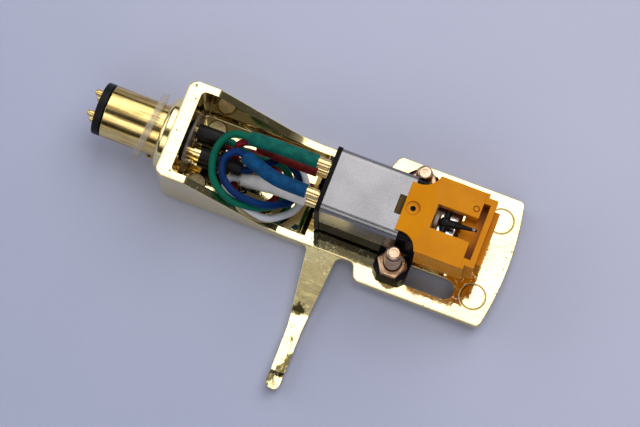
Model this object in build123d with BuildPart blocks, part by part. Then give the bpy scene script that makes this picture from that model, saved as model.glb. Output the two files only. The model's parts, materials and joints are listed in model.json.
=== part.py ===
from build123d import *
from math import cos, radians, sin, tan
import os

# A phono cartridge mounted in its plug-in headshell, lying on the shell's top face with the stylus up.
# The plug's axis is the x axis, with x = 0 at the plug's seat and +x towards the front.
# The finger lift points to -y. All sizes are millimetres; heights are above the shell's top face.

# Fits
fit = 0.02                  # gap between pieces that are pressed or glued together
slip = 0.1                  # gap between pieces that slide or turn past each other

# Headshell casting
axis_height = 6.9           # plug axis
boss_length = 1.5           # seat boss in front of the plug
boss_d = 11.2
boss_edge = 0.7
rear_wall = 2.2
box_width = 15.2
side_wall = 1.2
roof = 1.4                  # wall that carries the shell on the bench
rim_height = 12.8
rim_flat = 4.6              # level part of the rim behind the slope
slope_end = 19.5            # where the rim has come down to the plate
rim_crest_radius = 1.0
rim_foot_radius = 9.0
corner_radius = 1.3
inner_corner = 0.8          # the box's inside corners
floor_edge = 0.5            # rounding between the deep floor and the walls
roof_edge = 0.5
top_edge = 0.2              # rounding of the plate's and the neck's upper outline
floor_end = 23.1            # end of the deep floor
ridge_width = 1.5
ridge_height = 0.6
plate_top = 3.0             # face that the cartridge is screwed to
plate_thickness = 1.6
plate_width = 20.2
plate_start = 33.6
shoulder_run = 0.9
shoulder_radius = 1.0
plate_front = 54.45
front_bow = 1.1
plate_corner = 0.9
slot_spacing = 13.0
slot_width = 3.1
slot_rear = 35.6
slot_front = 48.1
plate_mark_d = 4.0          # round marks left by the mould's ejector pins
plate_mark_x = 51.0
plate_mark_y = 6.1
plate_mark_width = 0.22
mark_depth = 0.08
floor_pad_d = 2.7           # low round pads on the deep floor
floor_pad_x = 6.4
floor_pad_y = 4.35
floor_pad_height = 0.25

# Finger lift, cast on the side of the neck
lift_thickness = 1.4
lift_root_rear = 25.5
lift_root_front = 30.2
lift_waist_y = 19.5         # distances out from the axis
lift_waist_rear = 27.0
lift_waist_front = 29.25
lift_tip_y = 29.4
lift_tip_width = 2.1
lift_tip_corner = 0.95
lift_root_height = 2.2      # heights of the strip's middle
lift_bend_y = 17.3
lift_bend_height = 0.95
lift_step_y = 26.6
lift_step_run = 1.3
lift_step_height = 0.6      # the tip is stepped up by this much
lift_root_radius = 1.1
lift_bend_radius = 5.6
lift_step_radius = 1.2

# Plug
collar_d = 8.0
collar_length = 9.1
collar_wall = 0.8
collar_edge = 0.25
spigot_d = 7.4
spigot_length = 3.0
disc_thickness = 1.15
disc_edge = 0.2
core_proud = 0.4            # the insulator's core stands this far into the box
inner_disc_d = 9.4          # thin clear disc on the core's inner face
inner_disc_thickness = 0.4
pin_d = 1.2
pin_pitch = 3.3
pin_tip_d = 1.0
pin_proud = 1.35
pin_edge = 0.4
pin_inner_length = 3.2      # from the core's face into its clip
locating_pin_d = 1.2
locating_pin_x = -1.25
locating_pin_angle = 40     # degrees below the horizontal, on the finger lift's side
locating_pin_proud = 0.9
locating_pin_edge = 0.3
washer_bore = 8.6
washer_d = 10.9
washer_width = 1.05
washer_edge = 0.25
washer_x = -2.35
washer_skew = 5.0           # degrees about the vertical
washer_lean = 8.0           # degrees, with its top forward

# Cartridge
body_rear = 26.2
body_front = 41.0
shield_width = 9.9
shield_top = 16.6
shield_bottom = 8.9
shield_sheet = 0.35
shield_corner = 1.1
shield_front = 37.9
terminal_plate_thickness = 0.7
terminal_plate_proud = 0.15
terminal_d = 1.2
terminal_pitch_y = 4.7
terminal_pitch_z = 5.0
terminal_height = 10.9      # middle of the four terminals
terminal_proud = 2.4
terminal_inner_length = 1.3
hole_spacing = 12.7         # the half-inch mounting pattern
hole_x = 38.3
ear_half_width = 2.6
ear_reach = 2.1             # beyond the mounting hole
ear_corner = 0.9
ear_top = 5.4
ear_grooves = 2             # in each ear's end
ear_groove = 0.3
body_lift = 1.2             # the body's rear stands this far above the plate
cavity_length = 8.8
cavity_width = 7.4
cavity_bottom = 7.4
cavity_top = 14.6
nut_pocket_gap = 0.25

# Screws and nuts
screw_d = 2.3
screw_head_d = 4.5
screw_length = 12.4         # under the head
screw_edge = 0.45
screw_dish_d = 1.0          # shallow hollow in the screw's end
screw_dish_depth = 0.15
driver_slot = 0.6
driver_slot_depth = 0.7
nut_flats = 4.0
nut_height = 1.6
nut_crown_d = 3.7
nut_crown_angle = 30        # degrees
nut_countersink = 2.75

# Stylus unit
holder_top = 17.4
holder_bottom = 10.15
holder_width = 11.7
holder_front = 48.4
flap_rear = 37.3
flap_rear_width = 7.5
flap_notch_radius = 2.65
holder_wall = 1.15
holder_rear_wall = 0.8
holder_roof = 1.5
cheek_inner = 2.0           # the cheeks slope down from here
cheek_drop = 0.1
flap_crease = 41.25         # the flap falls to the rear from here
flap_fall = 0.45
cheek_mark_x = 47.2
cheek_mark_y = 3.1
cheek_mark_d = 0.95
cheek_mark_width = 0.15
window_width = 3.7
groove_rear = 47.95
groove_front = 48.95
groove_width = 8.5
groove_depth = 2.5
cavity_front = 46.1
lip_front = 49.8
lip_width = 10.5
toe_front = 50.6
toe_width = 8.2
toe_top = 15.4
catch_proud = 0.9           # how far the catch stands out behind the flap
catch_width = 2.7
catch_lap = 0.5             # how far the catch reaches under the flap
dimple_x = 38.7
dimple_d = 2.1
dimple_depth = 0.25
dimple_hole_d = 0.8
tube_d = 1.8
tube_bore = 1.44
tube_rear = 36.8
socket_wall = 0.25          # of the body, over the stylus tube
bracket_drop = 0.7          # the bracket's top is this far under the tube's axis
bracket_sheet = 0.35
bracket_front = 45.8
bracket_bend = 0.6
bracket_fold = 1.8
damper_d = 2.4
damper_length = 0.6
damper_edge = 0.2
damper_bore = 1.3
cantilever_angle = 24       # degrees
neck_d = 0.7
bead_d = 1.75
bead_start = 1.45           # distances along the cantilever from its pivot
bead_bar_d = 0.95
bead_bar_length = 3.2
hub_start = 1.9
hub_length = 1.4
hub_d = 1.15
cantilever_length = 6.5
cantilever_root_d = 0.85
cantilever_tip_d = 0.42
tip_d = 0.36
tip_length = 0.75
tip_point_d = 0.06
tip_setback = 0.3
magnet_d = 0.9
magnet_length = 1.6

# Coils and their cores
core_y = 2.05
core_sheet = 0.8
core_bar = 1.6
core_height = 11.3
core_setback = 1.6          # behind this much of the body
core_front_wall = 0.6
core_riser = 1.6
core_top = 16.0
coil_setback = 2.1
coil_length = 6.2
coil_width = 2.5
coil_depth = 4.2
coil_corner = 0.6

# Leads: clips, sleeves and wires
wire_d = 1.1
sleeve_wall = 0.2
clip_wall = 0.22
plug_clip_length = 4.0
plug_sleeve_start = {"green": 4.7, "red": 4.7, "blue": 6.4, "white": 6.0}
plug_sleeve_end = {"green": 9.3, "red": 9.3, "blue": 12.8, "white": 9.3}
lead_clip_length = 4.0
bend_share = 0.45           # share of the shorter run that a bend takes
lead_exit = 1.0             # first bend, this far in front of the sleeve on the contact
lead_bend = 4.6             # straight stretch behind each cartridge clip
lead_sleeve_d = 2.1
lead_sleeve_cover = 2.2     # how far the coloured sleeve covers its clip
lead_sleeve_start = {"green": 12.8, "red": 14.0, "blue": 13.2, "white": 13.4}
lead_side = {"green": (1, 1), "red": (1, -1), "blue": (-1, 1), "white": (-1, -1)}

# Each lead's turning points between its two straight end stretches, as x, y and height
lead_turns = {
    "green": [
        (13.8, 1.0, 6.5), (17.8, 2.3, 4.9), (20.4, -0.2, 4.5), (19.9, -3.9, 5.9), (17.2, -6.2, 8.0),
        (13.0, -6.9, 9.5), (9.5, -5.2, 10.7), (8.2, -1.0, 11.3), (9.6, 2.6, 11.3),
    ],
    "red": [
        (13.0, 2.6, 3.2), (16.8, 2.2, 2.4), (18.8, -0.6, 2.4), (18.2, -4.0, 3.0), (15.2, -5.3, 4.2),
        (12.5, -4.6, 5.0), (11.3, -1.2, 5.9), (11.2, 1.6, 10.5), (13.0, 2.5, 10.0),
    ],
    "blue": [
        (15.6, 0.5, 7.9), (18.1, 2.8, 6.5), (21.4, 0.7, 5.8), (21.6, -3.0, 6.4), (18.1, -5.8, 9.1),
        (13.1, -5.8, 10.4), (10.6, -4.0, 10.8), (9.9, -1.6, 10.9), (11.3, 0.4, 11.0),
    ],
    "white": [
        (13.2, 0.6, 4.6), (16.3, 2.6, 3.9), (19.8, 3.5, 3.1), (22.3, 1.0, 2.7), (22.4, -3.6, 4.2),
        (18.8, -6.9, 6.0), (15.4, -6.5, 7.2), (12.7, -5.4, 7.2), (11.0, -4.5, 7.0), (11.5, -2.8, 6.8),
    ],
}

# Sizes that follow from those above
half_box = box_width / 2
half_plate = plate_width / 2
half_shield = shield_width / 2
half_holder = holder_width / 2
plate_under = plate_top - plate_thickness
inner_rear = boss_length + rear_wall
ridge_front = floor_end + ridge_width
core_face = inner_rear + core_proud
body_under = plate_top + body_lift
ear_end = hole_spacing / 2 + ear_reach
core_rear = body_rear + core_setback
core_front = body_front - core_front_wall
coil_rear = body_rear + coil_setback
catch_rear = flap_rear - catch_proud
nut_corner = nut_flats / 2 / cos(radians(30))
core_half = half_shield - shield_sheet - fit
core_roof = shield_top - shield_sheet - fit
terminal_plate_rear = body_rear - terminal_plate_thickness
holder_rear = body_front + slip
flap_bottom = shield_top + slip
holder_ceiling = holder_top - holder_roof
holder_inner = half_holder - holder_wall
tube_front = holder_rear + holder_rear_wall
tube_height = core_roof - socket_wall - slip / 2 - tube_d / 2
bracket_top = tube_height - bracket_drop
damper_start = tube_front + 1.5 * slip
pivot_x = damper_start + damper_length / 2
clip_bore = pin_d + 2 * fit
clip_d = clip_bore + 2 * clip_wall
plug_sleeve_d = clip_d + 2 * fit + 2 * sleeve_wall

os.makedirs("parts", exist_ok=True)


def level(height):
    """The z of a height above the shell's top face."""
    return height - axis_height


def save(piece, label):
    """Label a finished piece and write it as its own file."""
    piece.part.label = label
    export_step(piece.part, f"parts/{label}.step")


# The finger lift is a tapered strip, bent down to bench level with its tip stepped up again
with BuildPart() as finger_lift:
    with BuildSketch(Plane.YZ.offset(lift_root_rear - 2 * lift_root_radius)):
        with BuildLine():
            FilletPolyline(
                (side_wall - half_box, level(lift_root_height)),
                (-lift_bend_y, level(lift_bend_height)),
                (-lift_step_y, level(lift_bend_height)),
                (-lift_step_y - lift_step_run, level(lift_bend_height + lift_step_height)),
                (-lift_tip_y, level(lift_bend_height + lift_step_height)),
                radius=[lift_bend_radius, lift_step_radius, lift_step_radius],
            )
            offset(amount=lift_thickness / 2)
        make_face()
    extrude(amount=lift_root_front - lift_root_rear + 4 * lift_root_radius)
    with BuildSketch(Plane.XY.offset(level(0))) as lift_outline:
        lift_middle = (lift_waist_rear + lift_waist_front) / 2
        with BuildLine():
            Polyline(
                (lift_root_rear, -half_box),
                (lift_waist_rear, -lift_waist_y),
                (lift_middle - lift_tip_width / 2, -lift_tip_y),
                (lift_middle + lift_tip_width / 2, -lift_tip_y),
                (lift_waist_front, -lift_waist_y),
                (lift_root_front, -half_box),
                close=True,
            )
        make_face()
        fillet(lift_outline.vertices().group_by(Axis.Y)[0], lift_tip_corner)
        with Locations(((lift_root_rear + lift_root_front) / 2, -half_box)):
            Rectangle(
                lift_root_front - lift_root_rear + 4 * lift_root_radius,
                side_wall,
                align=(Align.CENTER, Align.MIN),
            )
        root_corners = lift_outline.vertices().filter_by_position(Axis.Y, -half_box - fit, -half_box + fit)
        fillet(root_corners.sort_by(Axis.X)[1:3], lift_root_radius)
    extrude(amount=rim_height, mode=Mode.INTERSECT)

# Headshell: box with a falling rim, neck and front plate in one casting
with BuildPart() as headshell:
    with BuildSketch(Plane.XZ):
        with BuildLine():
            FilletPolyline(
                (boss_length, level(rim_height)),
                (boss_length + rim_flat, level(rim_height)),
                (slope_end, level(plate_top)),
                (plate_start, level(plate_top)),
                radius=[rim_crest_radius, rim_foot_radius],
            )
            Polyline(
                (plate_start, level(plate_top)),
                (plate_start, level(plate_under)),
                (ridge_front + plate_under, level(plate_under)),
                (ridge_front, level(0)),
                (boss_length, level(0)),
                (boss_length, level(rim_height)),
            )
        make_face()
    extrude(amount=half_box, both=True)
    fillet(headshell.edges().filter_by(Axis.Z).group_by(Axis.X)[0], corner_radius)
    fillet(headshell.faces().sort_by(Axis.Z)[0].edges(), roof_edge)
    # The box's inside, and the ridge between its deep floor and the plate
    with BuildSketch(Plane.XY.offset(level(roof))) as box_inside:
        with Locations((inner_rear, 0)):
            Rectangle(ridge_front - inner_rear, box_width - 2 * side_wall, align=(Align.MIN, Align.CENTER))
        fillet(box_inside.vertices().group_by(Axis.X)[0], inner_corner)
    extrude(amount=rim_height, mode=Mode.SUBTRACT)
    floor_edges = headshell.faces().filter_by(Axis.Z).filter_by_position(
        Axis.Z, level(roof - fit), level(roof + fit)
    ).edges()
    fillet(floor_edges.filter_by_position(Axis.X, inner_rear - fit, ridge_front - fit), floor_edge)
    with BuildSketch(Plane.XZ):
        with BuildLine():
            Polyline(
                (floor_end, level(roof)),
                (floor_end + ridge_width / 2, level(plate_top + ridge_height)),
                (ridge_front, level(plate_top)),
                (ridge_front, level(roof)),
                close=True,
            )
        make_face()
    extrude(amount=half_box - side_wall, both=True)
    # Front plate with its shoulders and bowed front edge
    with BuildSketch(Plane.XY.offset(level(plate_under))) as plate_outline:
        with BuildLine():
            bow = ThreePointArc(
                (plate_front - front_bow, -half_plate),
                (plate_front, 0),
                (plate_front - front_bow, half_plate),
            )
            Polyline(
                bow @ 1,
                (plate_start, half_plate),
                (plate_start - shoulder_run, half_box),
                (lift_root_front, half_box),
                (lift_root_front, -half_box),
                (plate_start - shoulder_run, -half_box),
                (plate_start, -half_plate),
                bow @ 0,
            )
        make_face()
        fillet(plate_outline.vertices().group_by(Axis.X)[-1], plate_corner)
        shoulders = plate_outline.vertices().group_by(Axis.X)[1:3]
        fillet(shoulders[0] + shoulders[1], shoulder_radius)
    extrude(amount=plate_thickness)
    plate_edges = headshell.faces().filter_by(Axis.Z).filter_by_position(
        Axis.Z, level(plate_top - fit), level(plate_top + fit)
    ).sort_by(Axis.X)[-1].outer_wire().edges()
    fillet(plate_edges.filter_by_position(Axis.X, ridge_front + fit, plate_front), top_edge)
    # Seat boss and the bore for the plug
    with BuildSketch(Plane.YZ):
        Circle(boss_d / 2)
    extrude(amount=boss_length)
    fillet(headshell.edges().group_by(Axis.X)[0], boss_edge)
    with BuildSketch(Plane.YZ):
        Circle(spigot_d / 2 + fit)
    extrude(amount=inner_rear, mode=Mode.SUBTRACT)
    # Slots for the mounting screws, and the moulding marks
    with BuildSketch(Plane.XY.offset(level(plate_under))):
        with Locations(((slot_rear + slot_front) / 2, 0)):
            with GridLocations(0, slot_spacing, 1, 2):
                SlotOverall(slot_front - slot_rear, slot_width)
    extrude(amount=plate_thickness, mode=Mode.SUBTRACT)
    with BuildSketch(Plane.XY.offset(level(plate_top))):
        with Locations((plate_mark_x, plate_mark_y), (plate_mark_x, -plate_mark_y)):
            Circle(plate_mark_d / 2)
            Circle(plate_mark_d / 2 - plate_mark_width, mode=Mode.SUBTRACT)
    extrude(amount=-mark_depth, mode=Mode.SUBTRACT)
    with BuildSketch(Plane.XY.offset(level(roof))):
        with Locations((floor_pad_x, floor_pad_y), (floor_pad_x, -floor_pad_y)):
            Circle(floor_pad_d / 2)
    extrude(amount=floor_pad_height)
    add(finger_lift.part)
save(headshell, "headshell")

# Plug collar: a turned sleeve with a spigot that is pressed into the shell
locating_plane = Plane(
    origin=(locating_pin_x, 0, 0),
    z_dir=(0, -cos(radians(locating_pin_angle)), -sin(radians(locating_pin_angle))),
)
with BuildPart() as plug_collar:
    with BuildSketch(Plane.XZ):
        with BuildLine():
            Polyline(
                (-collar_length, collar_d / 2 - collar_wall),
                (-collar_length, collar_d / 2),
                (0, collar_d / 2),
                (0, spigot_d / 2),
                (spigot_length, spigot_d / 2),
                (spigot_length, collar_d / 2 - collar_wall),
                close=True,
            )
        make_face()
    revolve(axis=Axis.X)
    chamfer(plug_collar.edges().group_by(Axis.X)[0].sort_by(SortBy.RADIUS)[-1], collar_edge)
    with BuildSketch(locating_plane):
        Circle(locating_pin_d / 2 + fit)
    extrude(amount=collar_d, mode=Mode.SUBTRACT)
save(plug_collar, "plug_collar")

with BuildPart() as locating_pin:
    with BuildSketch(locating_plane.offset(collar_d / 2 - collar_wall + fit)):
        Circle(locating_pin_d / 2)
    extrude(amount=collar_wall - fit + locating_pin_proud)
    fillet(locating_pin.edges().sort_by_distance(locating_plane.origin)[-1], locating_pin_edge)
save(locating_pin, "locating_pin")

# The insulator's disc closes the collar, and its core carries the four contacts into the box
with BuildPart() as plug_insulator:
    core_radius = collar_d / 2 - collar_wall - fit
    with BuildSketch(Plane.XZ):
        with BuildLine():
            Polyline(
                (-collar_length - disc_thickness - fit, 0),
                (-collar_length - disc_thickness - fit, collar_d / 2),
                (-collar_length - fit, collar_d / 2),
                (-collar_length - fit, core_radius),
                (core_face, core_radius),
                (core_face, 0),
                close=True,
            )
        make_face()
    revolve(axis=Axis.X)
    fillet(plug_insulator.edges().group_by(Axis.X)[0], disc_edge)
    with BuildSketch(Plane.YZ.offset(core_face)):
        with GridLocations(pin_pitch, pin_pitch, 2, 2):
            Circle(pin_d / 2 + fit)
    extrude(amount=-core_face - collar_length - disc_thickness - collar_d, mode=Mode.SUBTRACT)
save(plug_insulator, "plug_insulator")

with BuildPart() as plug_inner_disc:
    with BuildSketch(Plane.YZ.offset(core_face + fit)):
        Circle(inner_disc_d / 2)
        with GridLocations(pin_pitch, pin_pitch, 2, 2):
            Circle(pin_d / 2 + fit, mode=Mode.SUBTRACT)
    extrude(amount=inner_disc_thickness)
save(plug_inner_disc, "plug_inner_disc")

# The washer hangs on the collar, skewed behind the locating pin
washer_turn = radians(washer_skew)
washer_tip = radians(washer_lean)
washer_axis = (
    cos(washer_turn) * cos(washer_tip),
    -sin(washer_turn) * cos(washer_tip),
    -sin(washer_tip),
)
with BuildPart() as seat_washer:
    washer_drop = (washer_bore - collar_d) / 2 - slip - washer_width / 2 * sin(washer_tip)
    washer_plane = Plane(origin=(washer_x, 0, -washer_drop), z_dir=washer_axis)
    with BuildSketch(washer_plane):
        Circle(washer_d / 2)
        Circle(washer_bore / 2, mode=Mode.SUBTRACT)
    extrude(amount=washer_width / 2, both=True)
    fillet(seat_washer.edges(), washer_edge)
save(seat_washer, "seat_washer")

# Cartridge body: a block under the shield, with two ears for the mounting screws
with BuildPart() as cartridge_body:
    with BuildSketch(Plane.YZ.offset(body_rear)) as body_section:
        with Locations((0, level(plate_top))):
            Rectangle(shield_width, shield_bottom - fit - plate_top, align=(Align.CENTER, Align.MIN))
            Rectangle(2 * core_half, core_roof - plate_top, align=(Align.CENTER, Align.MIN))
        fillet(body_section.vertices().group_by(Axis.Y)[-1], shield_corner - shield_sheet - fit)
    extrude(amount=body_front - body_rear)
    with BuildSketch(Plane.XY.offset(level(plate_top))) as ear_outline:
        with Locations((hole_x, 0)):
            Rectangle(2 * ear_half_width, 2 * ear_end)
        chamfer(ear_outline.vertices(), ear_corner)
    extrude(amount=ear_top - plate_top)
    for side in (1, -1):
        for groove in range(ear_grooves):
            groove_height = (groove + 1) * (ear_top - plate_top) / (ear_grooves + 1) - ear_groove / 2
            with BuildSketch(Plane.XY.offset(level(plate_top + groove_height))):
                with Locations((hole_x, side * ear_end)):
                    Rectangle(2 * ear_half_width, 2 * ear_groove)
            extrude(amount=ear_groove, mode=Mode.SUBTRACT)
    # Behind the ears the body stands clear of the plate
    with BuildSketch(Plane.XY.offset(level(plate_top))):
        with Locations((body_rear, 0)):
            Rectangle(
                hole_x - ear_half_width - body_rear,
                shield_width,
                align=(Align.MIN, Align.CENTER),
            )
    extrude(amount=body_lift, mode=Mode.SUBTRACT)
    # Pockets that let the nuts turn in, then the screw holes
    nut_reach = nut_corner + nut_pocket_gap
    with BuildSketch(Plane.XY.offset(level(ear_top))):
        with Locations((hole_x, 0)):
            with GridLocations(0, hole_spacing, 1, 2):
                Circle(nut_reach)
    extrude(amount=nut_height + nut_pocket_gap, mode=Mode.SUBTRACT)
    with BuildSketch(Plane.XY.offset(level(plate_top))):
        with Locations((hole_x, 0)):
            with GridLocations(0, hole_spacing, 1, 2):
                Circle(screw_d / 2 + slip)
    extrude(amount=ear_top - plate_top, mode=Mode.SUBTRACT)
    # Hollow for the coils, open at the rear under the terminal plate
    with BuildSketch(Plane.YZ.offset(body_rear)):
        with Locations((0, level(cavity_bottom))):
            Rectangle(cavity_width, cavity_top - cavity_bottom, align=(Align.CENTER, Align.MIN))
    extrude(amount=cavity_length, mode=Mode.SUBTRACT)
    # Slots for the cores, and the socket for the stylus tube
    for side in (1, -1):
        with BuildSketch(Plane.XZ.offset(-side * core_y)):
            with Locations((body_rear + cavity_length, level(core_height - core_bar / 2 - fit))):
                Rectangle(
                    core_front + fit - body_rear - cavity_length,
                    core_roof - core_height + core_bar / 2 + fit,
                    align=(Align.MIN, Align.MIN),
                )
        extrude(amount=core_sheet / 2 + fit, both=True, mode=Mode.SUBTRACT)
    with BuildSketch(Plane.YZ.offset(tube_rear - slip)):
        with Locations((0, level(tube_height))):
            Circle(tube_d / 2 + slip / 2)
    extrude(amount=body_front - tube_rear + slip, mode=Mode.SUBTRACT)
save(cartridge_body, "cartridge_body")

# The shield is folded sheet over the body, with a notch for the stylus unit's catch
with BuildPart() as shield:
    with BuildSketch(Plane.YZ.offset(body_rear)) as shield_section:
        with Locations((0, level(shield_top))):
            Rectangle(shield_width, shield_top - shield_bottom, align=(Align.CENTER, Align.MAX))
        fillet(shield_section.vertices().group_by(Axis.Y)[-1], shield_corner)
        with BuildSketch(mode=Mode.PRIVATE) as shield_inside:
            with Locations((0, level(shield_top - shield_sheet))):
                Rectangle(
                    shield_width - 2 * shield_sheet,
                    shield_top - shield_bottom,
                    align=(Align.CENTER, Align.MAX),
                )
            fillet(shield_inside.vertices().group_by(Axis.Y)[-1], shield_corner - shield_sheet)
        add(shield_inside.sketch, mode=Mode.SUBTRACT)
    extrude(amount=shield_front - body_rear)
    with BuildSketch(Plane.XY.offset(level(shield_top))):
        with Locations((catch_rear - slip, 0)):
            Rectangle(
                shield_front - catch_rear + slip,
                catch_width + 2 * slip,
                align=(Align.MIN, Align.CENTER),
            )
    extrude(amount=-shield_sheet, mode=Mode.SUBTRACT)
save(shield, "shield")

with BuildPart() as terminal_plate:
    with BuildSketch(Plane.YZ.offset(terminal_plate_rear)) as terminal_plate_outline:
        with Locations((0, level(body_under))):
            Rectangle(
                shield_width + 2 * terminal_plate_proud,
                shield_top + terminal_plate_proud - body_under,
                align=(Align.CENTER, Align.MIN),
            )
        fillet(terminal_plate_outline.vertices().group_by(Axis.Y)[-1], shield_corner + terminal_plate_proud)
        with Locations((0, level(terminal_height))):
            with GridLocations(terminal_pitch_y, terminal_pitch_z, 2, 2):
                Circle(terminal_d / 2 + fit, mode=Mode.SUBTRACT)
    extrude(amount=terminal_plate_thickness - fit)
save(terminal_plate, "terminal_plate")

# Two bent cores carry the coils and rise beside the magnet's tube
with BuildPart() as pole_pieces:
    for side in (1, -1):
        with BuildSketch(Plane.XZ.offset(-side * core_y)):
            with BuildLine():
                Polyline(
                    (core_rear, level(core_height - core_bar / 2)),
                    (core_front, level(core_height - core_bar / 2)),
                    (core_front, level(core_top)),
                    (core_front - core_riser, level(core_top)),
                    (core_front - core_riser, level(core_height + core_bar / 2)),
                    (core_rear, level(core_height + core_bar / 2)),
                    close=True,
                )
            make_face()
        extrude(amount=core_sheet / 2, both=True)
save(pole_pieces, "pole_pieces")

with BuildPart() as coils:
    for side in (1, -1):
        with BuildSketch(Plane.YZ.offset(coil_rear)):
            with Locations((side * core_y, level(core_height))):
                RectangleRounded(coil_width, coil_depth, coil_corner)
                Rectangle(core_sheet + 2 * fit, core_bar + 2 * fit, mode=Mode.SUBTRACT)
        extrude(amount=coil_length)
save(coils, "coils")

# Two screws come through the plate's slots from the top, with nuts on the ears
with BuildPart() as mounting_screws:
    for side in (1, -1):
        with BuildSketch(Plane.XY.offset(level(0))):
            with Locations((hole_x, side * hole_spacing / 2)):
                Circle(screw_head_d / 2)
        extrude(amount=plate_under - fit)
        with BuildSketch(Plane.XY.offset(level(0))):
            with Locations((hole_x, side * hole_spacing / 2)):
                Circle(screw_d / 2)
        extrude(amount=plate_under + screw_length)
    fillet(mounting_screws.edges().group_by(Axis.Z)[-1], screw_edge)
    with BuildSketch(Plane.XY.offset(level(plate_under + screw_length))):
        with Locations((hole_x, 0)):
            with GridLocations(0, hole_spacing, 1, 2):
                Circle(screw_dish_d / 2)
    extrude(amount=-screw_dish_depth, mode=Mode.SUBTRACT)
    with BuildSketch(Plane.XY.offset(level(0))):
        with Locations((hole_x, 0)):
            with GridLocations(0, hole_spacing, 1, 2):
                Rectangle(driver_slot, screw_head_d)
    extrude(amount=driver_slot_depth, mode=Mode.SUBTRACT)
save(mounting_screws, "mounting_screws")

# One nut: a hexagon whose upper corners are turned down to a round crown
nut_top = nut_height - fit
crown_drop = (nut_corner - nut_crown_d / 2) * tan(radians(nut_crown_angle))
with BuildPart() as nut:
    with BuildSketch(Plane.XY):
        RegularPolygon(nut_corner, 6)
        Circle(screw_d / 2 + fit, mode=Mode.SUBTRACT)
    extrude(amount=nut_top)
    chamfer(nut.edges().filter_by(GeomType.CIRCLE).group_by(Axis.Z)[-1], (nut_countersink - screw_d) / 2)
    with BuildSketch(Plane.XZ):
        with BuildLine():
            Polyline(
                (0, 0),
                (nut_corner, 0),
                (nut_corner, nut_top - crown_drop),
                (nut_crown_d / 2, nut_top),
                (0, nut_top),
                close=True,
            )
        make_face()
    revolve(axis=Axis.Z, mode=Mode.INTERSECT)

with BuildPart() as mounting_nuts:
    with Locations((hole_x, 0, level(ear_top + fit))):
        with GridLocations(0, hole_spacing, 1, 2):
            add(nut.part)
save(mounting_nuts, "mounting_nuts")

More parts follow.
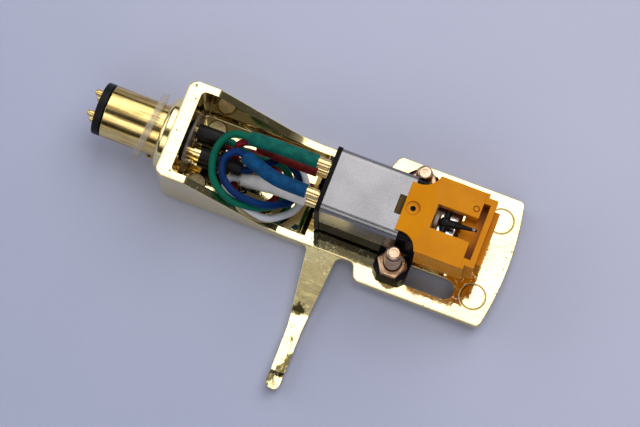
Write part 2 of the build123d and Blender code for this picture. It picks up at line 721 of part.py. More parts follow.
# Stylus holder: an open-bottomed block in front of the body, with a flap that lies on the shield
with BuildPart() as stylus_holder:
    with BuildSketch(Plane.XY.offset(level(holder_bottom))):
        with Locations((holder_rear, 0)):
            Rectangle(holder_front - holder_rear, holder_width, align=(Align.MIN, Align.CENTER))
            Rectangle(lip_front - holder_rear, lip_width, align=(Align.MIN, Align.CENTER))
    extrude(amount=holder_top - holder_bottom)
    with BuildSketch(Plane.XY.offset(level(holder_bottom))):
        with Locations((lip_front - holder_wall, 0)):
            Rectangle(toe_front - lip_front + holder_wall, toe_width, align=(Align.MIN, Align.CENTER))
    extrude(amount=toe_top - holder_bottom)
    # Flap, cut back round the two screws
    with BuildSketch(Plane.XY.offset(level(flap_bottom))):
        with Locations((flap_rear, 0)):
            Rectangle(tube_front - flap_rear, holder_width, align=(Align.MIN, Align.CENTER))
        with Locations((hole_x, 0)):
            with GridLocations(0, hole_spacing, 1, 2):
                Circle(flap_notch_radius, mode=Mode.SUBTRACT)
        with Locations((flap_rear, flap_rear_width / 2), (flap_rear, -flap_rear_width / 2 - holder_width)):
            Rectangle(hole_x - flap_rear, holder_width, align=(Align.MIN, Align.MIN), mode=Mode.SUBTRACT)
    extrude(amount=holder_top - flap_bottom)
    # Catch under the flap's rear edge, in the shield's notch
    with BuildSketch(Plane.XY.offset(level(core_roof + slip))):
        with Locations((catch_rear, 0)):
            Rectangle(flap_rear - catch_rear + catch_lap, catch_width, align=(Align.MIN, Align.CENTER))
    extrude(amount=flap_bottom - core_roof - 2 * slip)
    with BuildSketch(Plane.XY.offset(level(core_roof + slip))):
        with Locations((flap_rear, 0)):
            Rectangle(catch_lap, catch_width, align=(Align.MIN, Align.CENTER))
    extrude(amount=flap_bottom - core_roof - slip)
    # Inside of the block, the window over the cantilever and the groove in front of it
    with BuildSketch(Plane.XY.offset(level(holder_bottom))):
        with Locations((holder_rear + holder_rear_wall, 0)):
            Rectangle(
                cavity_front - holder_rear - holder_rear_wall,
                2 * holder_inner,
                align=(Align.MIN, Align.CENTER),
            )
    extrude(amount=holder_ceiling - holder_bottom, mode=Mode.SUBTRACT)
    with BuildSketch(Plane.XY.offset(level(holder_top))):
        with Locations((holder_rear + holder_rear_wall, 0)):
            Rectangle(
                groove_front - holder_rear - holder_rear_wall,
                window_width,
                align=(Align.MIN, Align.CENTER),
            )
        with Locations((groove_rear, 0)):
            Rectangle(groove_front - groove_rear, groove_width, align=(Align.MIN, Align.CENTER))
    extrude(amount=-groove_depth, mode=Mode.SUBTRACT)
    # Cheeks that fall away on both sides of the window, and the flap that falls to the rear
    for side in (1, -1):
        with BuildSketch(Plane.YZ.offset(flap_rear)):
            with BuildLine():
                Polyline(
                    (side * cheek_inner, level(holder_top)),
                    (side * half_holder, level(holder_top)),
                    (side * half_holder, level(holder_top - cheek_drop)),
                    close=True,
                )
            make_face()
        extrude(amount=groove_rear - flap_rear, mode=Mode.SUBTRACT)
    with BuildSketch(Plane.XZ):
        with BuildLine():
            Polyline(
                (flap_crease, level(holder_top)),
                (flap_rear, level(holder_top)),
                (flap_rear, level(holder_top - flap_fall)),
                close=True,
            )
        make_face()
    extrude(amount=half_holder, both=True, mode=Mode.SUBTRACT)
    with BuildSketch(Plane.XY.offset(level(holder_top - mark_depth - cheek_drop))):
        with Locations((cheek_mark_x, cheek_mark_y)):
            Circle(cheek_mark_d / 2)
            Circle(cheek_mark_d / 2 - cheek_mark_width, mode=Mode.SUBTRACT)
    extrude(amount=mark_depth + cheek_drop, mode=Mode.SUBTRACT)
    dimple_top = holder_top - flap_fall * (flap_crease - dimple_x) / (flap_crease - flap_rear)
    with BuildSketch(Plane.XY.offset(level(dimple_top - dimple_depth))):
        with Locations((dimple_x, 0)):
            Circle(dimple_d / 2)
    extrude(amount=flap_fall + dimple_depth, mode=Mode.SUBTRACT)
    with BuildSketch(Plane.XY.offset(level(holder_top))):
        with Locations((dimple_x, 0)):
            Circle(dimple_hole_d / 2)
    extrude(amount=flap_bottom - holder_top, mode=Mode.SUBTRACT)
    with BuildSketch(Plane.YZ.offset(holder_rear)):
        with Locations((0, level(tube_height))):
            Circle(tube_d / 2 + fit)
    extrude(amount=holder_rear_wall, mode=Mode.SUBTRACT)
save(stylus_holder, "stylus_holder")

with BuildPart() as stylus_tube:
    with BuildSketch(Plane.YZ.offset(tube_rear)):
        with Locations((0, level(tube_height))):
            Circle(tube_d / 2)
            Circle(tube_bore / 2, mode=Mode.SUBTRACT)
    extrude(amount=tube_front - tube_rear)
save(stylus_tube, "stylus_tube")

# Bright sheet across the holder, forked round the damper, its front edge folded down
bracket_middle = level(bracket_top - bracket_sheet / 2)
with BuildPart() as stylus_bracket:
    with BuildSketch(Plane.XZ):
        with BuildLine():
            FilletPolyline(
                (tube_front + fit + bracket_sheet / 2, bracket_middle),
                (bracket_front - bracket_sheet / 2, bracket_middle),
                (bracket_front - bracket_sheet / 2, level(bracket_top - bracket_fold)),
                radius=bracket_bend,
            )
            offset(amount=bracket_sheet / 2, kind=Kind.INTERSECTION)
        make_face()
    extrude(amount=holder_inner - fit, both=True)
    with BuildSketch(Plane.XY.offset(level(bracket_top))):
        with Locations((tube_front, 0)):
            Rectangle(
                damper_start + damper_length + 2 * slip - tube_front,
                damper_d + 4 * slip,
                align=(Align.MIN, Align.CENTER),
            )
    extrude(amount=-bracket_sheet, mode=Mode.SUBTRACT)
save(stylus_bracket, "stylus_bracket")

# Damper: a rubber ring at the tube's mouth, open for the magnet behind and the cantilever in front
pivot = Vector(pivot_x, 0, level(tube_height))
lean = radians(cantilever_angle)
cantilever_plane = Plane(origin=pivot, z_dir=(cos(lean), 0, sin(lean)))
with BuildPart() as stylus_damper:
    with BuildSketch(Plane.XZ) as damper_section:
        with Locations((damper_start, level(tube_height))):
            Rectangle(damper_length, damper_d / 2, align=(Align.MIN, Align.MIN))
        fillet(damper_section.vertices().group_by(Axis.Y)[-1], damper_edge)
    revolve(axis=Axis(pivot, (1, 0, 0)))
    with BuildSketch(Plane.YZ.offset(damper_start)):
        with Locations((0, level(tube_height))):
            Circle(magnet_d / 2 + 2 * slip)
    extrude(amount=pivot_x - damper_start, mode=Mode.SUBTRACT)
    with BuildSketch(cantilever_plane.offset(-damper_bore / 2)):
        Circle(damper_bore / 2)
    extrude(amount=damper_bore / 2 + damper_length, mode=Mode.SUBTRACT)
save(stylus_damper, "stylus_damper")

# The cantilever is one moulding: neck, bead with its cross-bar, hub and tapered lever
bead_centre = cantilever_plane.from_local_coords(Vector(0, 0, bead_start))
with BuildPart() as cantilever:
    with BuildSketch(Plane.YZ.offset(pivot_x - neck_d / 2)):
        with Locations((0, level(tube_height))):
            Circle(neck_d / 2)
    extrude(amount=neck_d / 2)
    with BuildSketch(cantilever_plane.offset(-neck_d / 4)):
        Circle(neck_d / 2)
    extrude(amount=hub_start + hub_length)
    with Locations(bead_centre):
        Sphere(bead_d / 2)
        Cylinder(bead_bar_d / 2, bead_bar_length, rotation=(90, 0, 0))
    with BuildSketch(cantilever_plane.offset(hub_start)):
        Circle(hub_d / 2)
    extrude(amount=hub_length)
    with BuildSketch(cantilever_plane.offset(hub_start + hub_length)):
        Circle(cantilever_root_d / 2)
    with BuildSketch(cantilever_plane.offset(cantilever_length)):
        Circle(cantilever_tip_d / 2)
    loft()
save(cantilever, "cantilever")

with BuildPart() as stylus_magnet:
    with BuildSketch(Plane.YZ.offset(pivot_x - neck_d / 2 - fit)):
        with Locations((0, level(tube_height))):
            Circle(magnet_d / 2)
    extrude(amount=-magnet_length)
save(stylus_magnet, "stylus_magnet")

# The diamond stands on the cantilever's end, across its axis
tip_plane = Plane(
    origin=cantilever_plane.from_local_coords(Vector(0, 0, cantilever_length - tip_setback)),
    z_dir=(-sin(lean), 0, cos(lean)),
)
with BuildPart() as stylus_tip:
    with BuildSketch(tip_plane.offset(cantilever_tip_d / 2 + fit)):
        Circle(tip_d / 2)
    with BuildSketch(tip_plane.offset(cantilever_tip_d / 2 + fit + tip_length)):
        Circle(tip_point_d / 2)
    loft()
save(stylus_tip, "stylus_tip")


def bend_radii(route):
    """Radius of each bend, from the shorter of its two runs and its turn."""
    radii = []
    for before, corner, after in zip(route, route[1:], route[2:]):
        run_in = Vector(corner) - Vector(before)
        run_out = Vector(after) - Vector(corner)
        half_turn = radians(run_in.get_angle(run_out)) / 2
        radii.append(bend_share * min(run_in.length, run_out.length) / tan(half_turn))
    return radii


def tube_along(route, radii, outer, bore=0.0):
    """A round tube or wire swept along straight runs with rounded bends."""
    with BuildPart() as tube:
        with BuildLine() as path:
            if radii:
                FilletPolyline(*route, radius=radii)
            else:
                Line(*route)
        with BuildSketch(Plane(origin=path.line @ 0, z_dir=path.line % 0)):
            Circle(outer / 2)
            if bore:
                Circle(bore / 2, mode=Mode.SUBTRACT)
        sweep(path=path.line)
    return tube


# Contacts, terminals, clips, sleeves and wire for each of the four leads
for colour, (side_y, side_z) in lead_side.items():
    contact_y = side_y * pin_pitch / 2
    contact_z = side_z * pin_pitch / 2
    terminal_y = side_y * terminal_pitch_y / 2
    terminal_z = level(terminal_height + side_z * terminal_pitch_z / 2)
    contact_shoulder = -collar_length - disc_thickness
    contact_end = core_face + pin_inner_length
    terminal_end = terminal_plate_rear - terminal_proud
    plug_clip_start = contact_end - plug_clip_length / 2
    lead_clip_end = terminal_end + lead_clip_length / 2
    lead_clip_start = terminal_end - lead_clip_length / 2

    with BuildPart() as contact_pin:
        with BuildSketch(Plane((contact_shoulder, contact_y, contact_z), z_dir=(1, 0, 0))):
            Circle(pin_d / 2)
        extrude(amount=contact_end - contact_shoulder)
        with BuildSketch(Plane((contact_shoulder, contact_y, contact_z), z_dir=(-1, 0, 0))):
            Circle(pin_tip_d / 2)
        extrude(amount=pin_proud)
        fillet(contact_pin.edges().group_by(Axis.X)[0], pin_edge)
    save(contact_pin, f"contact_pin_{colour}")

    with BuildPart() as terminal:
        with BuildSketch(Plane((terminal_end, terminal_y, terminal_z), z_dir=(1, 0, 0))):
            Circle(terminal_d / 2)
        extrude(amount=terminal_proud + terminal_plate_thickness + terminal_inner_length)
    save(terminal, f"terminal_{colour}")

    plug_clip = tube_along(
        [(plug_clip_start, contact_y, contact_z), (plug_clip_start + plug_clip_length, contact_y, contact_z)],
        [], clip_d, clip_bore,
    )
    save(plug_clip, f"plug_clip_{colour}")
    plug_sleeve = tube_along(
        [(plug_sleeve_start[colour], contact_y, contact_z), (plug_sleeve_end[colour], contact_y, contact_z)],
        [], plug_sleeve_d, clip_d + 2 * fit,
    )
    save(plug_sleeve, f"plug_sleeve_{colour}")
    lead_clip = tube_along(
        [(lead_clip_start, terminal_y, terminal_z), (lead_clip_end, terminal_y, terminal_z)],
        [], clip_d, clip_bore,
    )
    save(lead_clip, f"lead_clip_{colour}")

    turns = [(x, y, level(height)) for x, y, height in lead_turns[colour]]
    lead_start = (contact_end + fit, contact_y, contact_z)
    first_bend = (plug_sleeve_end[colour] + lead_exit, contact_y, contact_z)
    last_bend = (terminal_end - fit - lead_bend, terminal_y, terminal_z)
    lead_end = (terminal_end - fit, terminal_y, terminal_z)
    route = [lead_start, first_bend, *turns, last_bend, lead_end]
    radii = bend_radii(route)
    lead = tube_along(route, radii, wire_d)
    save(lead, f"lead_{colour}")
    print(f"lead_{colour}: bend radii", [round(radius, 2) for radius in radii])

    # The coloured sleeve follows the wire's last bend
    sleeve_share = (lead_sleeve_start[colour] - last_bend[0]) / (turns[-1][0] - last_bend[0])
    sleeve_start = Vector(last_bend) + (Vector(turns[-1]) - Vector(last_bend)) * sleeve_share
    sleeve_end = (lead_clip_start + lead_sleeve_cover, terminal_y, terminal_z)
    sleeve_route = [sleeve_start, last_bend, sleeve_end]
    lead_sleeve = tube_along(sleeve_route, [radii[-1]], lead_sleeve_d, clip_d + 2 * fit)
    save(lead_sleeve, f"lead_sleeve_{colour}")
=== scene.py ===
import bmesh
import bpy
import json
from math import cos, radians, sin, tau
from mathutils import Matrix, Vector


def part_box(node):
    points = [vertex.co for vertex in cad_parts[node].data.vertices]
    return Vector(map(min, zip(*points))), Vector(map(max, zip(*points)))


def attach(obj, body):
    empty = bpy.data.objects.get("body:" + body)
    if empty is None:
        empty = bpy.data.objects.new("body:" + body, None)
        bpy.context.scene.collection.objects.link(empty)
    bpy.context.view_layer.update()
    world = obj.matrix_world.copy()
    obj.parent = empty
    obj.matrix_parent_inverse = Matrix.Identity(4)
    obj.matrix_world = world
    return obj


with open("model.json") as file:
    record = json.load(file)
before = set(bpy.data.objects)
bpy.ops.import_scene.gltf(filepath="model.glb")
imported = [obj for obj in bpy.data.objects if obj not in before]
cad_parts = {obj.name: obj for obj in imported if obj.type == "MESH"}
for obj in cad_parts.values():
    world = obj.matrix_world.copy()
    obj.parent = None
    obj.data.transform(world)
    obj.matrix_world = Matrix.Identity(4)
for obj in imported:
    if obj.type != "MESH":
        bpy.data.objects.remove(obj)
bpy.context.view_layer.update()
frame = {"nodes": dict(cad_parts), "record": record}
scene = bpy.context.scene
scene.view_settings.view_transform = "Standard"

# Places and sizes, in metres; a pair (x, y) stands for the points (x, y) and (x, -y)
FLOOR = -0.0069                     # the shell's top face, on which it lies
FLOOR_GAP = 0.00002                 # between that face and the floor
FLOOR_SIZE = 1.6
FLOOR_X = 0.025                     # the floor's middle
SCREWS = (0.0383, 0.00635)
MOULDING_RINGS = (0.051, 0.0061)    # on the front plate
PADS = (0.0064, 0.00435)            # matte, on the deep floor of the box
THREAD_RADIUS = 0.00115
THREAD_PITCH = 0.00045
THREAD_PROUD = 0.00013
THREAD_FOOT = -0.00005              # the ridge's foot lies inside the screw
THREAD_GAP = 0.0001                 # between the nut and the thread's start
THREAD_END = 0.00055                # from the thread's end to the screw's
MOULDED_EDGE = 0.0001               # radius of the worn edges
CAST_EDGE = 0.00012
SHEET_EDGE = 0.00008

# Shares and counts
PATCHES = (0.35, 0.65)              # the part of a coarse noise that is drawn out to full contrast
GRAIN = (0.3, 0.7)                  # the same for a fine grain
RAYS = 6                            # samples for worn edges and hollows
THREAD_STEPS = 30                   # in one turn
FOOT_HALF = 0.48                    # half widths of the thread's ridge, in pitches
CREST_HALF = 0.09


# Node helpers

def new_material(name):
    """An empty node material with its tree and its Principled shader."""
    mat = bpy.data.materials.new(name)
    mat.use_nodes = True
    tree = mat.node_tree
    shader = next(n for n in tree.nodes if n.type == "BSDF_PRINCIPLED")
    return mat, tree, shader


def place(tree):
    """Texture coordinates in the object's own frame, in metres."""
    return tree.nodes.new("ShaderNodeTexCoord").outputs["Object"]


def along(tree, vector, axis):
    """One coordinate of a vector."""
    node = tree.nodes.new("ShaderNodeSeparateXYZ")
    tree.links.new(vector, node.inputs["Vector"])
    return node.outputs[axis]


def stretched(tree, vector, scale):
    """Coordinates scaled along each axis, for grain that runs one way."""
    node = tree.nodes.new("ShaderNodeMapping")
    node.inputs["Scale"].default_value = scale
    tree.links.new(vector, node.inputs["Vector"])
    return node.outputs["Vector"]


def noise(tree, vector, scale, detail=3.0, rough=0.55):
    """Noise whose features repeat about scale times in a metre."""
    node = tree.nodes.new("ShaderNodeTexNoise")
    node.inputs["Scale"].default_value = scale
    node.inputs["Detail"].default_value = detail
    node.inputs["Roughness"].default_value = rough
    tree.links.new(vector, node.inputs["Vector"])
    return node.outputs["Fac"]


def cells(tree, vector, scale):
    """Distance to the nearest of scattered points, about scale of them in a metre."""
    node = tree.nodes.new("ShaderNodeTexVoronoi")
    node.inputs["Scale"].default_value = scale
    tree.links.new(vector, node.inputs["Vector"])
    return node.outputs["Distance"]


def remap(tree, value, low, high, to_low, to_high):
    """A value taken from one range to another and held inside it."""
    node = tree.nodes.new("ShaderNodeMapRange")
    node.inputs["From Min"].default_value = low
    node.inputs["From Max"].default_value = high
    node.inputs["To Min"].default_value = to_low
    node.inputs["To Max"].default_value = to_high
    tree.links.new(value, node.inputs["Value"])
    return node.outputs["Result"]


def smooth(tree, value, low, high):
    """0 at low and 1 at high, with a soft step between them; low may be the larger."""
    node = tree.nodes.new("ShaderNodeMapRange")
    node.interpolation_type = "SMOOTHSTEP"
    node.inputs["From Min"].default_value = low
    node.inputs["From Max"].default_value = high
    tree.links.new(value, node.inputs["Value"])
    return node.outputs["Result"]


def combine(tree, operation, a, b):
    """One step of arithmetic on sockets or numbers."""
    node = tree.nodes.new("ShaderNodeMath")
    node.operation = operation
    for socket, value in zip(node.inputs, (a, b)):
        if isinstance(value, (int, float)):
            socket.default_value = value
        else:
            tree.links.new(value, socket)
    return node.outputs["Value"]


def product(tree, result, *others):
    """All the values multiplied."""
    for other in others:
        result = combine(tree, "MULTIPLY", result, other)
    return result


def largest(tree, result, *others):
    """The largest of the values."""
    for other in others:
        result = combine(tree, "MAXIMUM", result, other)
    return result


def mix_colour(tree, factor, a, b):
    """Two colours, sockets or tuples, mixed by a factor."""
    node = tree.nodes.new("ShaderNodeMix")
    node.data_type = "RGBA"
    tree.links.new(factor, node.inputs["Factor"])
    for socket, value in zip(node.inputs[6:8], (a, b)):
        if isinstance(value, tuple):
            socket.default_value = (*value, 1.0)
        else:
            tree.links.new(value, socket)
    return node.outputs[2]


def bump(tree, height, distance, under=None):
    """Normals tilted by a height, on top of any normals given."""
    node = tree.nodes.new("ShaderNodeBump")
    node.inputs["Distance"].default_value = distance
    tree.links.new(height, node.inputs["Height"])
    if under is not None:
        tree.links.new(under, node.inputs["Normal"])
    return node.outputs["Normal"]


def worn_edge(tree, radius):
    """Normals that round the solid's sharp edges over a small radius."""
    node = tree.nodes.new("ShaderNodeBevel")
    node.samples = RAYS
    node.inputs["Radius"].default_value = radius
    return node.outputs["Normal"]


def painted_hollow_shade(tree, reach, closed, opened, most):
    """A mask for painted shade, from ambient occlusion: the value most in recesses, falling to 0 where the surface
    lies open.
    """
    node = tree.nodes.new("ShaderNodeAmbientOcclusion")
    node.samples = RAYS
    node.inputs["Distance"].default_value = reach
    return remap(tree, node.outputs["AO"], closed, opened, most, 0.0)


def plan_distance(tree, where, x, y):
    """Distance in plan from the two points (x, y) and (x, -y)."""
    dx = combine(tree, "SUBTRACT", along(tree, where, "X"), x)
    dy = combine(tree, "SUBTRACT", combine(tree, "ABSOLUTE", along(tree, where, "Y"), 0.0), y)
    square = combine(tree, "ADD", product(tree, dx, dx), product(tree, dy, dy))
    return combine(tree, "SQRT", square, 0.0)


def patchy(tree, where, scale, dark, light, detail=4.0):
    """Colour that drifts in patches between two tones."""
    tone = remap(tree, noise(tree, where, scale, detail), *PATCHES, 0.0, 1.0)
    return mix_colour(tree, tone, dark, light)


def grainy(tree, grain, low, high):
    """Roughness that follows a grain."""
    return remap(tree, grain, *GRAIN, low, high)


def dress(tree, shader, colour, roughness, normal, metallic=0.0):
    """Gives the shader its colour, roughness and normals, and says how metallic it is."""
    for socket, value in (("Base Color", colour), ("Roughness", roughness), ("Normal", normal)):
        tree.links.new(value, shader.inputs[socket])
    shader.inputs["Metallic"].default_value = metallic


# Materials

def finish(name, dark, light, rough, metallic=0.0, patch=300.0, grain=4000.0, depth=0.00001,
           grain_scale=(1, 1, 1), edge=0.0, **sockets):
    """A surface whose colour varies in patches, and whose roughness and bump follow a finer grain."""
    mat, tree, shader = new_material(name)
    where = place(tree)
    fine = noise(tree, stretched(tree, where, grain_scale), grain)
    rounded = worn_edge(tree, edge) if edge else None
    dress(tree, shader, patchy(tree, where, patch, dark, light), grainy(tree, fine, *rough),
          bump(tree, fine, depth, under=rounded), metallic)
    for socket, value in sockets.items():
        shader.inputs[socket.replace("_", " ")].default_value = value
    return mat


def gold_casting(name):
    """Plated casting: mirror bright, a little wavy, with pits, scratches, moulding rings and matte pads; painted
    shade in its recesses and moulding rings, and a painted dark reflection on the finger lift.
    """
    mat, tree, shader = new_material(name)
    where = place(tree)
    outward = along(tree, where, "Y")
    height = along(tree, where, "Z")
    plated = patchy(tree, where, 180.0, (0.93, 0.755, 0.36), (0.96, 0.83, 0.465))
    # Painted shade in the recesses: the plating turned brown where ambient occlusion finds shelter
    plated = mix_colour(tree, painted_hollow_shade(tree, 0.0015, 0.1, 0.55, 0.6), plated, (0.42, 0.26, 0.06))
    # Rings of the ejector pins on the plate, drawn as a dark line of painted shade where their shallow grooves
    # would shade, and the matte pads on the deep floor with a dark outline
    from_ring = plan_distance(tree, where, *MOULDING_RINGS)
    ring = product(tree, remap(tree, from_ring, 0.00170, 0.00178, 0.0, 1.0),
                   remap(tree, from_ring, 0.00200, 0.00206, 1.0, 0.0),
                   remap(tree, height, -0.0048, -0.0046, 0.0, 0.85))
    deep = product(tree, remap(tree, height, -0.0060, -0.0058, 0.0, 1.0),
                   remap(tree, height, -0.0050, -0.0048, 1.0, 0.0))
    from_pad = plan_distance(tree, where, *PADS)
    pad = product(tree, remap(tree, from_pad, 0.00131, 0.00135, 1.0, 0.0), deep)
    outline = product(tree, remap(tree, from_pad, 0.00131, 0.00135, 0.0, 0.9),
                      remap(tree, from_pad, 0.00148, 0.00156, 1.0, 0.0), deep)
    mottle = noise(tree, where, 5000.0, 4.0, 0.7)
    sandy = mix_colour(tree, remap(tree, mottle, *PATCHES, 0.0, 1.0), (0.52, 0.42, 0.24), (0.96, 0.84, 0.60))
    # Pits in some areas
    pits = remap(tree, cells(tree, where, 1700.0), 0.08, 0.15, 1.0, 0.0)
    pitted = product(tree, pits, remap(tree, noise(tree, where, 150.0, 2.0), 0.55, 0.64, 0.0, 1.0))
    # A few chips in the rim round the box
    chips = product(tree, remap(tree, cells(tree, where, 900.0), 0.17, 0.24, 0.95, 0.0),
                    smooth(tree, noise(tree, where, 300.0), 0.50, 0.56),
                    remap(tree, height, 0.0050, 0.0056, 0.0, 1.0))
    pitted = largest(tree, pitted, chips)
    # Specks in worn zones and at the front, and long fine scratches
    specks = remap(tree, noise(tree, where, 2400.0, 4.0, 0.75), 0.60, 0.70, 0.0, 0.75)
    worn_zone = largest(tree, remap(tree, noise(tree, where, 90.0), 0.45, 0.65, 0.0, 1.0),
                        remap(tree, along(tree, where, "X"), 0.049, 0.054, 0.0, 1.0))
    specks = product(tree, specks, worn_zone)
    lengthwise = stretched(tree, where, (0.05, 1, 1))
    scratch = remap(tree, noise(tree, lengthwise, 5200.0, 2.0), 0.66, 0.70, 0.0, 0.6)
    # Real pits, chips, specks and scratches, together with the painted shade of the rings
    marks_and_ring_shade = largest(tree, pitted, ring, outline, specks, scratch)
    colour = mix_colour(tree, marks_and_ring_shade, plated, (0.22, 0.15, 0.05))
    # Painted dark reflection on the finger lift, where its bends would mirror the dark room: a band at its crease
    # and blotches towards its end
    crease = product(tree, smooth(tree, outward, -0.0181, -0.0174), smooth(tree, outward, -0.0160, -0.0168))
    end = product(tree, smooth(tree, outward, -0.0185, -0.0235), 0.75)
    cover = product(tree, largest(tree, crease, end), 0.14)
    blotches = noise(tree, stretched(tree, where, (1.3, 0.6, 1)), 520.0, 5.0, 0.65)
    painted_dark_reflection = product(tree, smooth(tree, combine(tree, "ADD", blotches, cover), 0.58, 0.70),
                      smooth(tree, outward, -0.0135, -0.0150))
    colour = mix_colour(tree, painted_dark_reflection, colour, (0.10, 0.082, 0.03))
    # Smears in the polish, and waves that are strongest on the lift
    smears = remap(tree, noise(tree, where, 260.0, 5.0, 0.6), 0.35, 0.7, 0.03, 0.09)
    lift = remap(tree, outward, -0.016, -0.012, 1.0, 0.3)
    waves = product(tree, noise(tree, where, 420.0, 2.0), lift)
    relief = bump(tree, waves, 0.00004, under=worn_edge(tree, CAST_EDGE))
    relief = bump(tree, noise(tree, where, 2600.0, 2.0), 0.000003, under=relief)
    relief = bump(tree, largest(tree, pitted, specks), -0.00002, under=relief)
    relief = bump(tree, product(tree, pad, mottle), 0.00006, under=relief)
    dress(tree, shader, mix_colour(tree, pad, colour, sandy),
          combine(tree, "ADD", smears, product(tree, pad, 0.4)), relief, 1.0)
    return mat


def collar_plating(name):
    """Turned and plated sleeve with dull streaks along it and fine turning lines round it."""
    mat, tree, shader = new_material(name)
    where = place(tree)
    plated = patchy(tree, where, 260.0, (0.86, 0.62, 0.22), (0.94, 0.74, 0.33))
    streaks = noise(tree, stretched(tree, where, (0.06, 1, 1)), 1500.0, 4.0, 0.65)
    dulled = remap(tree, streaks, 0.44, 0.62, 0.0, 0.85)
    turning = noise(tree, stretched(tree, where, (1, 0.1, 0.1)), 6000.0)
    dress(tree, shader, mix_colour(tree, dulled, plated, (0.30, 0.18, 0.05)), grainy(tree, turning, 0.06, 0.16),
          bump(tree, turning, 0.000003, under=worn_edge(tree, MOULDED_EDGE)), 1.0)
    return mat


def screw_plating(name):
    """Copper toned screw, with painted shade in the grooves of its thread."""
    mat, tree, shader = new_material(name)
    where = place(tree)
    copper = patchy(tree, where, 700.0, (0.54, 0.35, 0.23), (0.74, 0.53, 0.38))
    radius = plan_distance(tree, where, *SCREWS)
    # Painted shade: the thread's roots darkened, found by distance from the screw's axis
    painted_groove_shade = product(tree, smooth(tree, radius, 0.00108, 0.00112), smooth(tree, radius, 0.00125, 0.00116),
                     smooth(tree, along(tree, where, "Z"), -0.003, -0.0025))
    fine = noise(tree, where, 3000.0)
    dress(tree, shader, mix_colour(tree, painted_groove_shade, copper, (0.12, 0.062, 0.033)), grainy(tree, fine, 0.2, 0.34),
          bump(tree, fine, 0.000002), 1.0)
    return mat


def amber(name):
    """Orange moulding, with painted shade making it redder in its recesses; its catch, below the flap's rear edge,
    is painted as shade in a darker olive brown.
    """
    mat, tree, shader = new_material(name)
    where = place(tree)
    forward = along(tree, where, "X")
    moulding = patchy(tree, where, 300.0, (0.67, 0.235, 0.002), (0.74, 0.275, 0.003))
    # Painted shade in the recesses, by ambient occlusion
    moulding = mix_colour(tree, painted_hollow_shade(tree, 0.002, 0.25, 0.75, 0.9), moulding, (0.30, 0.055, 0.001))
    # The catch's painted shade: orange plastic coloured olive brown, darkest towards the flap's rear edge
    catch = remap(tree, forward, 0.03728, 0.03732, 1.0, 0.0)
    shaded = mix_colour(tree, remap(tree, forward, 0.0364, 0.0373, 0.0, 1.0),
                        (0.11, 0.065, 0.012), (0.04, 0.02, 0.004))
    fine = noise(tree, where, 4000.0)
    dress(tree, shader, mix_colour(tree, catch, moulding, shaded), grainy(tree, fine, 0.2, 0.3),
          bump(tree, fine, 0.000002, under=worn_edge(tree, MOULDED_EDGE)))
    shader.inputs["Specular IOR Level"].default_value = 0.08
    shader.inputs["Subsurface Weight"].default_value = 0.08
    shader.inputs["Subsurface Scale"].default_value = 0.0005
    return mat


def translucent(name, dark, light, cover, rough):
    """Milky rubber or plastic through which what lies behind it shows."""
    mat, tree, shader = new_material(name)
    where = place(tree)
    fine = noise(tree, where, 5000.0)
    dress(tree, shader, patchy(tree, where, 500.0, dark, light), grainy(tree, fine, *rough),
          bump(tree, fine, 0.000003))
    shader.inputs["Alpha"].default_value = cover
    shader.inputs["IOR"].default_value = 1.41
    return mat


def satin_sheet(name):
    """Satin plated sheet with a fine frosted grain."""
    mat, tree, shader = new_material(name)
    where = place(tree)
    grain = noise(tree, where, 6500.0, 3.0, 0.6)
    dress(tree, shader, patchy(tree, where, 160.0, (0.25, 0.245, 0.25), (0.31, 0.30, 0.31), 3.0),
          grainy(tree, grain, 0.22, 0.34), bump(tree, grain, 0.000012, under=worn_edge(tree, SHEET_EDGE)), 1.0)
    return mat


def floor_paper(name):
    """Pale paper with a faint grain, and a painted light falloff: its tone darkens towards the front left."""
    mat, tree, shader = new_material(name)
    where = place(tree)
    # Painted light falloff towards the front left, with the paper's own speckle added
    across = combine(tree, "ADD", product(tree, along(tree, where, "X"), 0.5), along(tree, where, "Y"))
    speckle = remap(tree, noise(tree, where, 60.0, 4.0), *GRAIN, -0.04, 0.04)
    tone = combine(tree, "ADD", smooth(tree, across, -0.07, 0.06), speckle)
    fine = noise(tree, where, 900.0)
    dress(tree, shader, mix_colour(tree, tone, (0.40, 0.433, 0.60), (0.535, 0.55, 0.72)),
          grainy(tree, fine, 0.6, 0.75), bump(tree, fine, 0.00002))
    return mat


# A look for each material slot

looks = {}


def look(maker, name, *values, **settings):
    """Makes a material and keeps it under the name of its slot."""
    looks[name] = maker(name, *values, **settings)


look(gold_casting, "gold_casting")
look(collar_plating, "gold_collar")
look(finish, "contact_gold", (0.78, 0.52, 0.18), (0.92, 0.70, 0.30), (0.12, 0.26), 1.0)
look(finish, "clip_gold", (0.74, 0.55, 0.24), (0.90, 0.74, 0.42), (0.15, 0.3), 1.0)
look(finish, "plug_black", (0.008, 0.008, 0.010), (0.016, 0.016, 0.018), (0.3, 0.45),
     edge=MOULDED_EDGE, Specular_IOR_Level=0.1)
look(translucent, "washer_rubber", (0.54, 0.48, 0.38), (0.70, 0.64, 0.54), 0.29, (0.2, 0.32))
look(translucent, "disc_clear", (0.22, 0.18, 0.15), (0.34, 0.29, 0.25), 0.4, (0.2, 0.32))
look(finish, "body_black", (0.006, 0.005, 0.007), (0.013, 0.011, 0.014), (0.16, 0.26),
     depth=0.000004, edge=MOULDED_EDGE, Specular_IOR_Level=0.05)
look(finish, "terminal_black", (0.006, 0.006, 0.007), (0.012, 0.012, 0.013), (0.4, 0.55),
     edge=MOULDED_EDGE, Specular_IOR_Level=0.06)
look(satin_sheet, "shield_silver")
look(finish, "core_iron", (0.30, 0.30, 0.31), (0.44, 0.43, 0.42), (0.3, 0.5), 1.0)
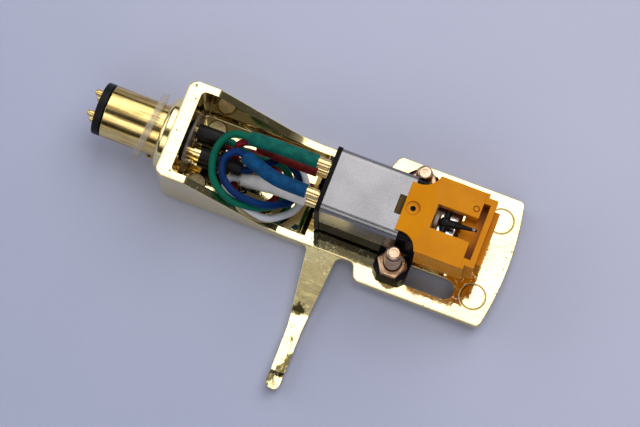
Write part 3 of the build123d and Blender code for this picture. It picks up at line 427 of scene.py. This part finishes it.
look(finish, "coil_copper", (0.42, 0.15, 0.05), (0.62, 0.27, 0.10), (0.25, 0.4), 1.0,
     grain=9000.0, depth=0.00004, grain_scale=(1, 0.05, 0.05))
look(screw_plating, "screw_copper")
look(finish, "nut_copper", (0.60, 0.36, 0.20), (0.78, 0.52, 0.33), (0.2, 0.36), 1.0, edge=CAST_EDGE)
look(amber, "holder_amber")
look(finish, "tube_metal", (0.58, 0.58, 0.60), (0.72, 0.72, 0.73), (0.2, 0.35), 1.0)
look(finish, "bracket_bright", (0.86, 0.86, 0.86), (0.95, 0.95, 0.95), (0.12, 0.22), 1.0)
look(finish, "damper_rubber", (0.30, 0.27, 0.24), (0.42, 0.39, 0.35), (0.45, 0.6))
look(finish, "cantilever_black", (0.006, 0.006, 0.007), (0.014, 0.014, 0.016), (0.25, 0.4),
     Specular_IOR_Level=0.15)
look(finish, "magnet_grey", (0.12, 0.12, 0.13), (0.2, 0.2, 0.2), (0.4, 0.6), 1.0)
look(finish, "tip_diamond", (0.7, 0.72, 0.75), (0.85, 0.87, 0.9), (0.02, 0.1), Transmission_Weight=0.8, IOR=2.4)
look(finish, "sleeve_black", (0.006, 0.006, 0.006), (0.014, 0.013, 0.014), (0.4, 0.55), Specular_IOR_Level=0.2)

insulation = {
    "green": ((0.001, 0.10, 0.062), (0.003, 0.15, 0.092)),
    "red": ((0.15, 0.006, 0.016), (0.24, 0.013, 0.024)),
    "blue": ((0.001, 0.017, 0.09), (0.002, 0.033, 0.15)),
    "white": ((0.60, 0.62, 0.68), (0.74, 0.76, 0.82)),
}
shrink_tube = {
    "green": ((0.003, 0.085, 0.070), (0.006, 0.150, 0.118)),
    "red": ((0.17, 0.014, 0.013), (0.27, 0.026, 0.021)),
    "blue": ((0.002, 0.040, 0.120), (0.003, 0.075, 0.210)),
    "white": ((0.64, 0.62, 0.63), (0.76, 0.74, 0.74)),
}
for colour in insulation:
    look(finish, f"wire_{colour}", *insulation[colour], (0.3, 0.45), Specular_IOR_Level=0.1)
    look(finish, f"sleeve_{colour}", *shrink_tube[colour], (0.4, 0.55),
         patch=900.0, grain=1800.0, depth=0.00008, Specular_IOR_Level=0.1)

slots = {entry["node"]: entry["material_slot"] for entry in frame["record"]["subparts"]}
for node, obj in frame["nodes"].items():
    for entry in obj.material_slots:
        entry.material = looks[slots[node]]


# Threads on the bare ends of the two mounting screws

def screw_thread(name, centres, low, high, radius, pitch, proud):
    """A helical ridge round each screw, running out over its first and last turns."""
    count = int((high - low) / pitch * THREAD_STEPS)
    mesh = bmesh.new()
    for x, y in centres:
        rings = []
        for i in range(count + 1):
            turns = i / THREAD_STEPS
            angle = tau * i / THREAD_STEPS
            crest = proud * min(1.0, turns, (count - i) / THREAD_STEPS)
            ring = []
            for out, rise in ((THREAD_FOOT, -FOOT_HALF), (crest, -CREST_HALF),
                              (crest, CREST_HALF), (THREAD_FOOT, FOOT_HALF)):
                r = radius + out
                spot = (x + r * cos(angle), y + r * sin(angle), low + pitch * (turns + rise))
                ring.append(mesh.verts.new(spot))
            rings.append(ring)
        for here, there in zip(rings, rings[1:]):
            for k in range(4):
                after = (k + 1) % 4
                mesh.faces.new((here[k], here[after], there[after], there[k]))
        mesh.faces.new(rings[0])
        mesh.faces.new(rings[-1])
    bmesh.ops.recalc_face_normals(mesh, faces=mesh.faces)
    data = bpy.data.meshes.new(name)
    mesh.to_mesh(data)
    mesh.free()
    data.shade_smooth()
    piece = bpy.data.objects.new(name, data)
    scene.collection.objects.link(piece)
    return piece


screw_x, screw_y = SCREWS
threads = screw_thread("screw_threads", ((screw_x, screw_y), (screw_x, -screw_y)),
                       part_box("mounting_nuts")[1][2] + THREAD_GAP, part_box("mounting_screws")[1][2] - THREAD_END,
                       THREAD_RADIUS, THREAD_PITCH, THREAD_PROUD)
threads.data.materials.append(looks["screw_copper"])
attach(threads, "shell")


# Floor

bpy.ops.mesh.primitive_plane_add(size=FLOOR_SIZE, location=(FLOOR_X, 0, FLOOR - FLOOR_GAP))
floor = bpy.context.object
floor.name = "floor"
floor.data.materials.append(floor_paper("floor_paper"))


# Soft light banks by direction, over a dim room with a pale horizon

world = bpy.data.worlds.new("studio")
scene.world = world
world.use_nodes = True
sky = world.node_tree
background = next(n for n in sky.nodes if n.type == "BACKGROUND")
direction = sky.nodes.new("ShaderNodeTexCoord").outputs["Generated"]
sideways = along(sky, direction, "X")
upward = along(sky, direction, "Z")
swing = combine(sky, "ARCTAN2", along(sky, direction, "Y"), upward)


def bank(low, high, left, right, level):
    """A soft-edged bank between two swings about the x axis, in degrees, and two sideways limits."""
    return product(sky, smooth(sky, swing, radians(low[0]), radians(low[1])),
                   smooth(sky, swing, radians(high[1]), radians(high[0])),
                   smooth(sky, sideways, *left), smooth(sky, sideways, right[1], right[0]), level)


room = 0.04
dome = product(sky, smooth(sky, upward, 0.3, 0.95), 0.30)
dark_gap = bank((-30, -22), (-9, -3), (-1.2, -1.1), (1.1, 1.2), 0.25)
far_bank = bank((-4, 10), (56, 76), (-0.27, -0.14), (0.45, 0.65), 2.0)
near_bank = bank((-66, -46), (-32, -20), (-0.45, -0.25), (0.45, 0.65), 1.3)
plug_bank = bank((-60, -40), (40, 60), (-1.2, -1.1), (-0.65, -0.5), 1.2)
horizon = product(sky, smooth(sky, upward, 0.22, 0.06), 0.5)
light = largest(sky, combine(sky, "SUBTRACT", dome, dark_gap), 0.0)
for source in (room, far_bank, near_bank, plug_bank, horizon):
    light = combine(sky, "ADD", light, source)
sky.links.new(light, background.inputs["Strength"])
background.inputs["Color"].default_value = (1.0, 1.0, 1.0, 1.0)


# Camera

lens = bpy.data.cameras.new("camera")
lens.sensor_width = 36.0
lens.lens = 142.88
lens.clip_start = 0.01
camera = bpy.data.objects.new("camera", lens)
camera.location = (0.053559, -0.082560, 0.363211)
camera.rotation_euler = (radians(13.0136), radians(-0.4018), radians(21.0399))
scene.collection.objects.link(camera)
scene.camera = camera
